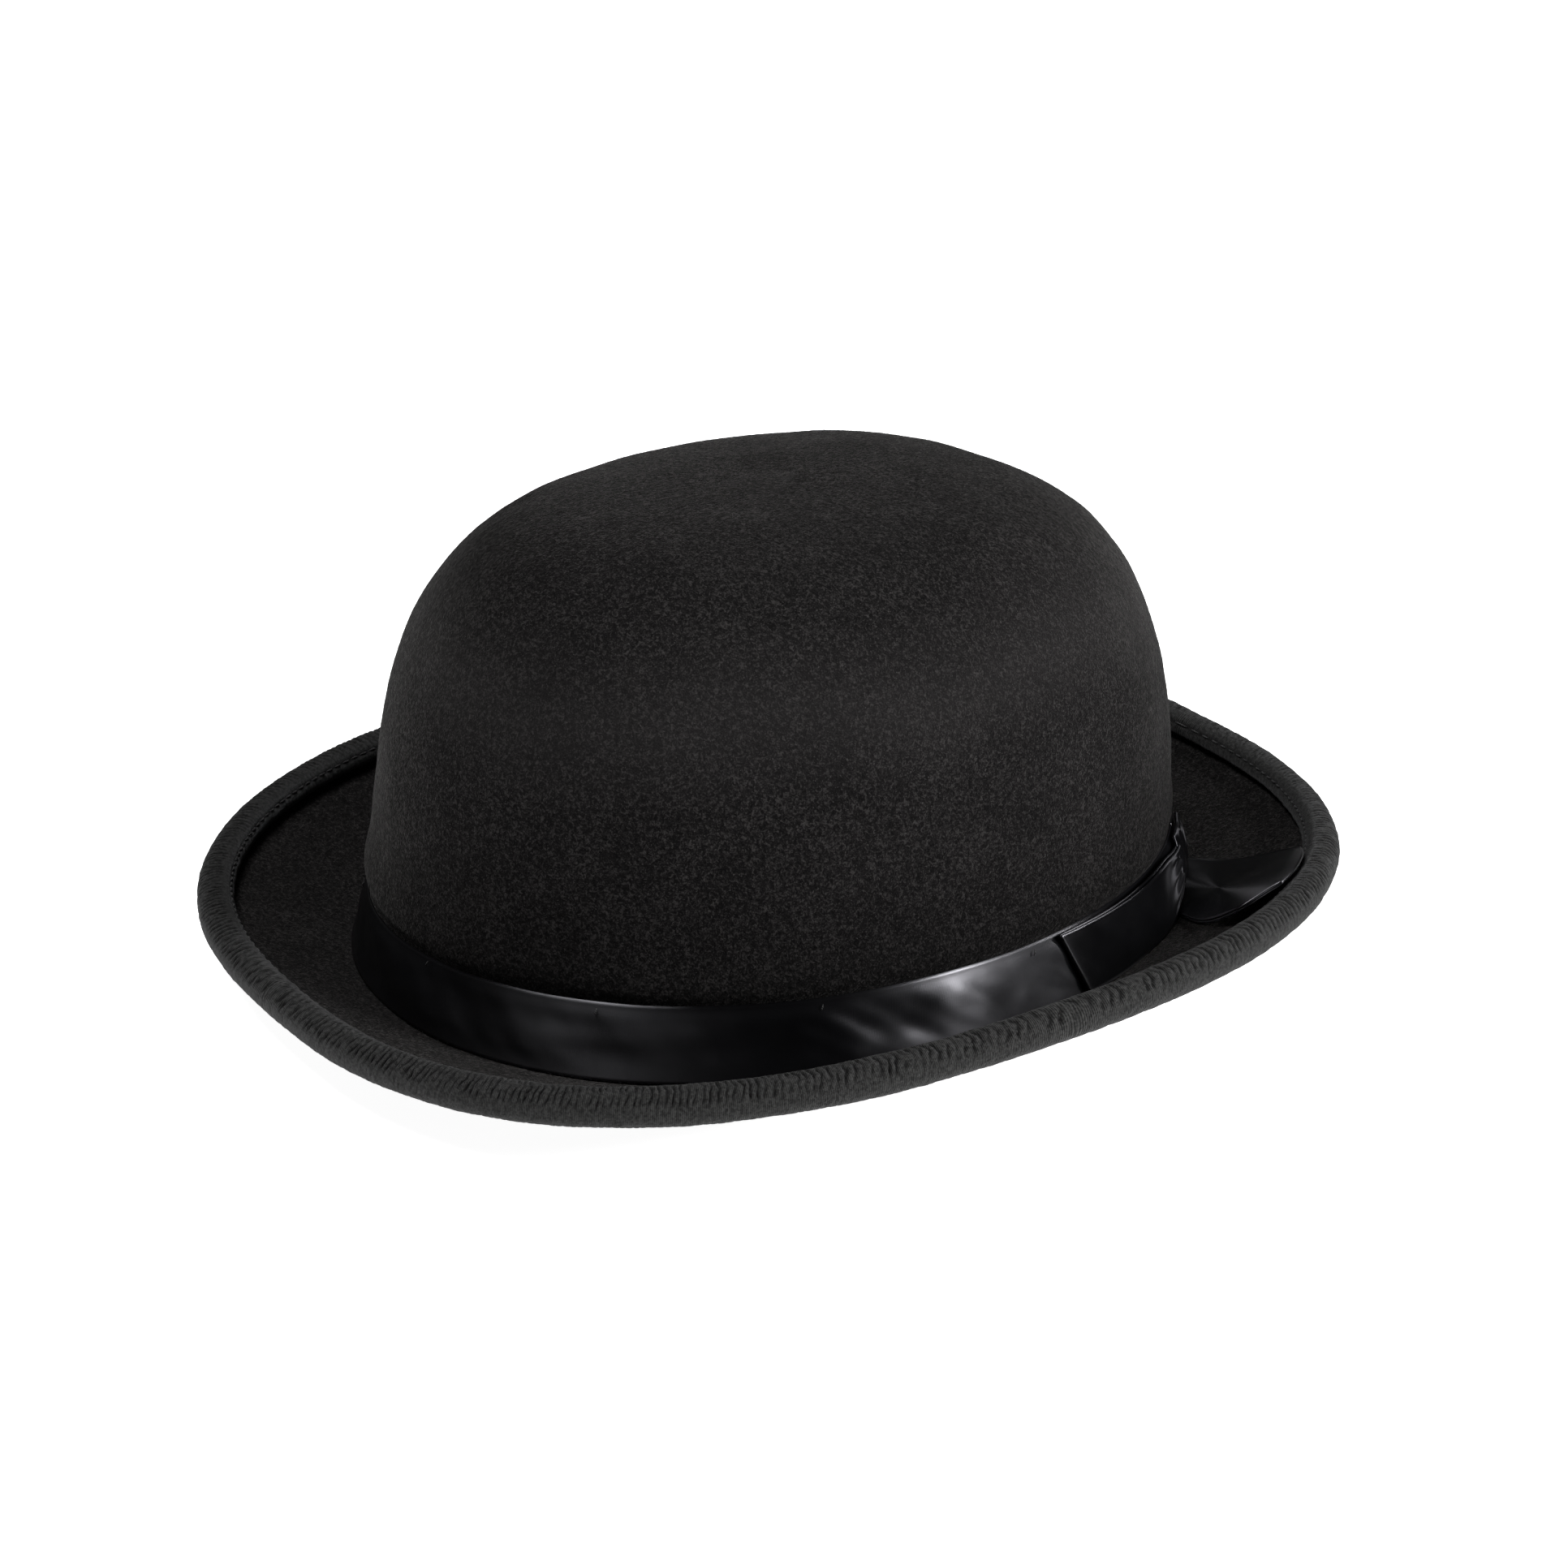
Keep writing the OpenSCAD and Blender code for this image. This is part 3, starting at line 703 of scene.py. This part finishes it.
def build_rear_wing():
    """Flattened loop of ribbon that lies out over the brim and up to the rolled edge's shoulder."""
    count = int(80 * FINE)
    s, layer, tip = loop_path(count)
    across = np.linspace(0, 1, 26)[None, :]
    rounded_corner = 0.035 * np.abs(2 * across - 1) ** 3
    u = 0.12 + (0.78 - rounded_corner) * s + 0.012 * tip
    front = KNOT - 21 + 16 * (1 - u) ** 2.6 + 3.5 * smooth(u, 0.65, 0.9)
    rear = KNOT + 12 - 20.5 * u
    a = front + (rear - front) * across
    to_roll_top = rim_z(a) + ROLL - underside_z(a, u) - FELT
    climb = 0.8 * to_roll_top * (np.clip(u - 0.28, 0, 1) / 0.60) ** 2.0
    p = brim_point(a, u, FELT + GAP + 0.7 * MM + climb)
    gathered = 1 - smooth(s, 0.0, 0.18)
    pleats = gathered ** 2 * 0.15 * np.sin(across * 17)
    body = 0.35 + 0.9 * np.sin(math.pi * np.clip(0.08 + 0.84 * s, 0, 1)) ** 0.6
    flatter_sides = 1 - 0.35 * (2 * across - 1) ** 4
    creases = 0.15 * waves(p, 24 * MM, 41) + 0.02 * waves(p, 8 * MM, 42)
    height = layer * (body * flatter_sides + pleats + creases)
    middle = p + (height * MM)[..., None] * UP
    obj = ribbon("bow_rear_loop", middle, SATIN, selvedge=0.08 * MM)
    piece(obj, SATIN_LOOK, "satin", "bow_rear_wing")


def build_knot():
    """Strap of ribbon wrapped over the bow, with pleats that run with it."""
    half_angle = 4.4
    a = np.linspace(KNOT - half_angle, KNOT + half_angle, 40)[:, None]
    t = np.linspace(0, 1, int(46 * FINE))[None, :]
    low, high = BAND_FOOT + 2.4 * MM, BAND_TOP - 0.1 * MM
    round_over = np.sin(math.pi * t) ** 0.55
    z = low + (high - low) * (t + 0.06 * np.sin(2 * math.pi * t))
    side = (a - KNOT) / half_angle
    out = 0.2 + (1.3 + 0.5 * (1 - side ** 2)) * round_over
    pleats = 0.18 * np.sin(side * 8.5 + 0.8 * np.sin(3 * t)) * round_over
    creases = 0.10 * waves(crown_point(a, z), 6 * MM, 51)
    middle = crown_point(a, z, -band_face(z) - (out + pleats + creases) * MM)
    obj = ribbon("bow_knot_strap", middle, 0.4 * MM, selvedge=0.1 * MM)
    piece(obj, SATIN_LOOK, "satin", "bow_knot")


def build_knot_stitches():
    def knot_surface(at, z, lift):
        return crown_point(at, z, -band_face(z) - 0.4 * MM - lift)

    heights = [BAND_FOOT + f * BAND_HEIGHT for f in (0.3, 0.5, 0.7)]
    half = 0.9 * MM
    paths = [stitch(knot_surface, KNOT + 5.4, KNOT + 5.7, z - half, z + half) for z in heights]
    piece(threads("bow_knot_stitches", paths, 0.22 * MM), THREAD_LOOK, "thread", "bow_stitches")


# ---------------------------------------------------------------- sweatband

def build_sweatband():
    """Leather strip with a turned top edge and two pressed lines, butted at the back."""
    a = np.linspace(90.3, 449.7, int(720 * FINE))[:, None]
    h = np.linspace(0, 1, 40)
    z = SWEAT_FOOT + (sweat_high.z - SWEAT_FOOT) * h
    inset = sweat_inset(z) + SWEAT_THICKNESS / 2
    middle = crown_point(a, z, inset)
    pressed = sum(np.exp(-((h - line) / 0.012) ** 2) for line in (0.88, 0.92))
    soft = (0.22 * waves(middle, 28 * MM, 61) + 0.08 * waves(middle, 9 * MM, 62)) * smooth(h, 0.15, 0.5)
    shift = np.abs(soft) + 0.25 * smooth(h, 0.96, 1.0) - 0.12 * pressed
    middle = middle - crown_normal(a) * (shift * MM)[..., None]
    obj = ribbon("sweatband_strip", middle, SWEAT_THICKNESS - 0.2 * MM)
    piece(obj, leather_look(), "sweatband_leather", "sweatband")


def sweat_surface(at, z, lift):
    """The sweatband's inner face."""
    return crown_point(at, z, sweat_inset(z) + SWEAT_THICKNESS + lift)


def build_sweatband_sewing():
    """The zigzag up the back seam, and the row that holds the sweatband in the hat."""
    paths = []
    for i in range(7):
        low = SWEAT_FOOT + (11.3 + 3 * i) * MM
        lean = 0.55 if i % 2 else -0.55
        paths.append(stitch(sweat_surface, 90 - lean, 90 + lean, low, low + 1.5 * MM, 0.45 * MM))
    piece(threads("back_seam_stitches", paths, 0.2 * MM), THREAD_LOOK, "thread", "sweatband_back_stitches")

    paths = stitch_ring(sweat_surface, 140, 0.7, SWEAT_FOOT + 4 * MM, rise=0.4 * MM, first=0.5)
    brown = thread_look("brown_thread", (0.05, 0.034, 0.022), (0.13, 0.09, 0.06))
    piece(threads("sweatband_seam_stitches", paths, 0.2 * MM), brown, "thread", "sweatband_stitches")


def build_reed_tape():
    """Narrow tape folded round the reed, puckered by its stitches."""
    a = ring_angles(840)[:, None]
    out_count, in_count = 20, 12
    turns = np.concatenate([np.linspace(-210, 42, out_count), np.linspace(42, -210, in_count)])
    outer = (np.arange(len(turns)) < out_count).astype(float)
    pucker = 0.06 * np.sin(np.radians(a) * 140) + 0.03 * waves(crown_point(a, REED_Z), 5 * MM, 63)
    radius = (0.88 + outer * (0.28 + pucker)) * MM
    t = np.radians(turns)[:, None]
    outward = np.cos(t) * crown_normal(a) + np.sin(t) * UP
    p = crown_point(a, REED_Z, REED_INSET) + radius[..., None] * outward
    obj = grid_object("reed_cover_tape", p, wrap_rows=True, length=0.6,
                      across=there_and_back(5 * MM, out_count, in_count))
    piece(obj, TAPE_LOOK, "binding", "reed_tape")


def build_sweatband_bow():
    """Small flat bow of narrow ribbon over the back seam: two loops pinched in the middle."""
    low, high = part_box("sweatband_bow")
    centre_z = (low.z + high.z) / 2
    back = high.y - 0.5 * MM
    x = np.linspace(low.x, high.x, int(90 * FINE))[:, None]
    v = np.linspace(-1, 1, 12)[None, :]
    reach = np.abs(x) / high.x
    half_width = (1.35 + 1.85 * smooth(reach, 0.1, 0.8)) * MM
    pinch = 0.3 * (1 - smooth(reach, 0.1, 0.6)) * np.sin(v * 8)
    puff = 0.75 * np.sin(math.pi * np.clip(reach * 1.02, 0, 1)) ** 0.8 * (1 - 0.5 * v ** 2)
    z = centre_z + half_width * v
    x, z = np.broadcast_arrays(x, z)
    front = np.stack([x, back - (0.5 + puff + pinch) * MM, z], axis=-1)
    rear = np.stack([x, np.full_like(z, back + 0.15 * MM), z], axis=-1)
    obj = grid_object("back_seam_bow", np.concatenate([front, rear[:, ::-1]], axis=1), length=22 * MM,
                      across=there_and_back(6.4 * MM, 12, 12))
    piece(obj, SATIN_LOOK, "satin", "sweatband_bow")
    build_bow_wrap(centre_z, back)


def build_bow_wrap(centre_z, back):
    """The ribbon wrapped round the small bow's middle."""
    turn = np.radians(np.linspace(0, 360, 28, endpoint=False))
    across = np.linspace(-1.9, 1.9, 14)[:, None] * MM
    round_off = np.sqrt(1 - (across / (2.4 * MM)) ** 2)
    pleat = 1 + 0.05 * np.sin(across / MM * 5)
    y = back - 0.75 * MM - 0.95 * MM * np.cos(turn) * round_off * pleat
    z = centre_z + 1.9 * MM * np.sin(turn) * round_off * pleat
    p = np.stack([np.broadcast_to(-across, y.shape), y, z], axis=-1)[:, ::-1]
    obj = grid_object("back_seam_bow_wrap", p, length=4 * MM, across=np.linspace(0, 9 * MM, 28))
    piece(obj, SATIN_LOOK, "satin", "sweatband_bow")


def build_label():
    """Blank woven label, slightly curved with the sweatband."""
    centre = (label_low + label_high) / 2
    at = math.degrees(math.atan2(centre.y / CROWN[1], centre.x / CROWN[0]))
    half_angle = 4.45
    a = np.linspace(at - half_angle, at + half_angle, 60)[:, None]
    z = np.linspace(label_low.z, label_high.z, 30)
    middle = sweat_surface(a, z, 0.55 * MM)
    middle = middle - crown_normal(a) * (0.12 * MM * waves(middle, 7 * MM, 71))[..., None]
    obj = ribbon("size_label_cloth", middle, 0.35 * MM, selvedge=0.06 * MM)
    piece(obj, label_look(), "label", "size_label")


# ---------------------------------------------------------------- lining

def build_lining_side():
    """Satin strip round the crown's inside, eased in with small pleats."""
    a = ring_angles(960)[:, None]
    t = np.linspace(0, 1, 44)
    turns = 2.5 + (LINING_SEAM - 2.7) * t
    pleats = 72
    wave = 0.5 + 0.5 * np.sin(np.radians(a) * pleats + 0.8 * waves(crown_point(a, 0.05), 30 * MM, 81))
    deep = 0.9 * wave ** 1.5 * smooth(t, 0.25, 0.9)
    shallow = 0.5 * smooth(t, 0, 0.1) * (1 - smooth(t, 0.9, 1.0)) * wave
    middle = crown_point(a, dome_z(turns), LINING_INSET + 0.2 * MM + (deep + shallow) * MM)
    side = ribbon("lining_side_satin", middle, 0.3 * MM, closed=True)
    piece(side, LINING_LOOK, "lining", "lining_side")


def build_lining_tip():
    """Smooth satin piece under the crown's top, sagging a little."""
    a = ring_angles(480)
    turns = np.concatenate([np.linspace(LINING_SEAM + 0.2, 86, 40), [87.3, 88.5]])
    ease = LINING_INSET + 0.4 * MM
    outer = [crown_point(a, dome_z(phi, LINING_INSET), LINING_INSET) for phi in turns[::-1]]
    inner = [crown_point(a, dome_z(phi, ease), ease) for phi in turns]
    p = np.stack(outer + inner)
    on_inner = np.arange(len(p))[:, None] >= len(outer)
    sag = np.where(on_inner, 0.25 * np.abs(waves(p, 22 * MM, 82)), 0)
    usual_reach = 90 * MM
    p = p * (1 - sag[..., None] * MM / usual_reach)
    tip = grid_object("lining_tip_satin", p, length=0.2, across=np.linspace(0, 0.5, len(a)))
    piece(tip, LINING_LOOK, "lining", "lining_tip")
    ring = crown_point(a, dome_z(LINING_SEAM), LINING_INSET)


def build_lining_stitches():
    def lining_surface(at, turn, lift):
        depth = LINING_INSET + 0.75 * MM + lift
        return crown_point(at, dome_z(turn, depth), depth)

    paths = stitch_ring(lining_surface, 96, 0.75, LINING_SEAM - 1.5)
    piece(threads("lining_seam_stitches", paths, 0.2 * MM), THREAD_LOOK, "thread", "lining_stitches")


# ---------------------------------------------------------------- stage

def build_floor():
    """A pale floor just under the hat that glows enough to stay white, and is clear from below."""
    half = 4.0
    drop = -0.2 * MM
    corners = [(-half, -half, drop), (half, -half, drop), (half, half, drop), (-half, half, drop)]
    floor = new_object("floor", corners, [(0, 1, 2, 3)])
    look = Look("pale_floor")
    look.set(Base_Color=(0.85, 0.85, 0.85, 1), Roughness=0.9, Specular_IOR_Level=0.1,
             Emission_Color=(1, 1, 1, 1), Emission_Strength=0.95)
    clear = look.node("ShaderNodeBsdfTransparent").outputs["BSDF"]
    behind = look.node("ShaderNodeNewGeometry").outputs["Backfacing"]
    both = look.node("ShaderNodeMixShader", {0: behind, 1: look.shader.outputs["BSDF"], 2: clear})
    look.tree.links.new(both.outputs["Shader"], look.tree.nodes["Material Output"].inputs["Surface"])
    floor.data.materials.append(look.material)


def direction(azimuth, elevation):
    """Unit vector from the hat towards a lamp or camera, from angles in degrees."""
    a, e = math.radians(azimuth), math.radians(elevation)
    return Vector((math.cos(a) * math.cos(e), math.sin(a) * math.cos(e), math.sin(e)))


def softbox(name, azimuth, elevation, distance, size, power):
    """A rectangular lamp that faces the hat."""
    target = Vector((0, 0, 0.05))
    away = direction(azimuth, elevation)
    lamp = bpy.data.lights.new(name, "AREA")
    lamp.shape = "RECTANGLE"
    lamp.size, lamp.size_y = size
    lamp.energy = power
    obj = bpy.data.objects.new(name, lamp)
    obj.location = target + distance * away
    obj.rotation_euler = away.to_track_quat("Z", "Y").to_euler()
    bpy.context.scene.collection.objects.link(obj)


def build_light():
    world = bpy.data.worlds.new("studio")
    world.use_nodes = True
    background = world.node_tree.nodes["Background"]
    background.inputs["Color"].default_value = (1, 1, 1, 1)
    background.inputs["Strength"].default_value = 0.04
    scene = bpy.context.scene
    scene.world = world
    scene.view_settings.view_transform = "Standard"
    softbox("key_box", azimuth=-88, elevation=70, distance=1.3, size=(0.6, 0.6), power=11.5)
    softbox("right_box", azimuth=30, elevation=27, distance=1.1, size=(0.24, 0.36), power=12)
    softbox("right_strip", azimuth=54, elevation=27, distance=1.1, size=(0.08, 0.36), power=2.6)
    softbox("left_box", azimuth=-150, elevation=70, distance=1.2, size=(0.5, 0.5), power=4)


def build_camera():
    distance = 0.787
    middle = Vector((0, 0, 0.4 * felt_high.z))
    away = direction(azimuth=-34.43, elevation=23.72)
    data = bpy.data.cameras.new("camera")
    data.sensor_width = 36
    data.lens = 73.45
    data.shift_x, data.shift_y = 0.005, -0.027
    camera = bpy.data.objects.new("camera", data)
    camera.location = middle + distance * away
    camera.rotation_euler = away.to_track_quat("Z", "Y").to_euler()
    bpy.context.scene.collection.objects.link(camera)
    bpy.context.scene.camera = camera


def finish_cad_nodes():
    """The hidden wire, its joiner and the reed keep their CAD shapes."""
    steel = metal_look()
    for node, look in (("brim_wire", steel), ("wire_joiner", steel), ("sweatband_reed", reed_look())):
        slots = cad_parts[node].data.materials
        slots.clear()
        slots.append(look)


build_camera()
build_floor()
build_light()
build_felt()
build_binding()
build_binding_stitches()
build_band()
build_band_tacks()
build_front_wing()
build_rear_wing()
build_knot()
build_knot_stitches()
build_sweatband()
build_sweatband_sewing()
build_reed_tape()
build_sweatband_bow()
build_label()
build_lining_side()
build_lining_tip()
build_lining_stitches()
finish_cad_nodes()
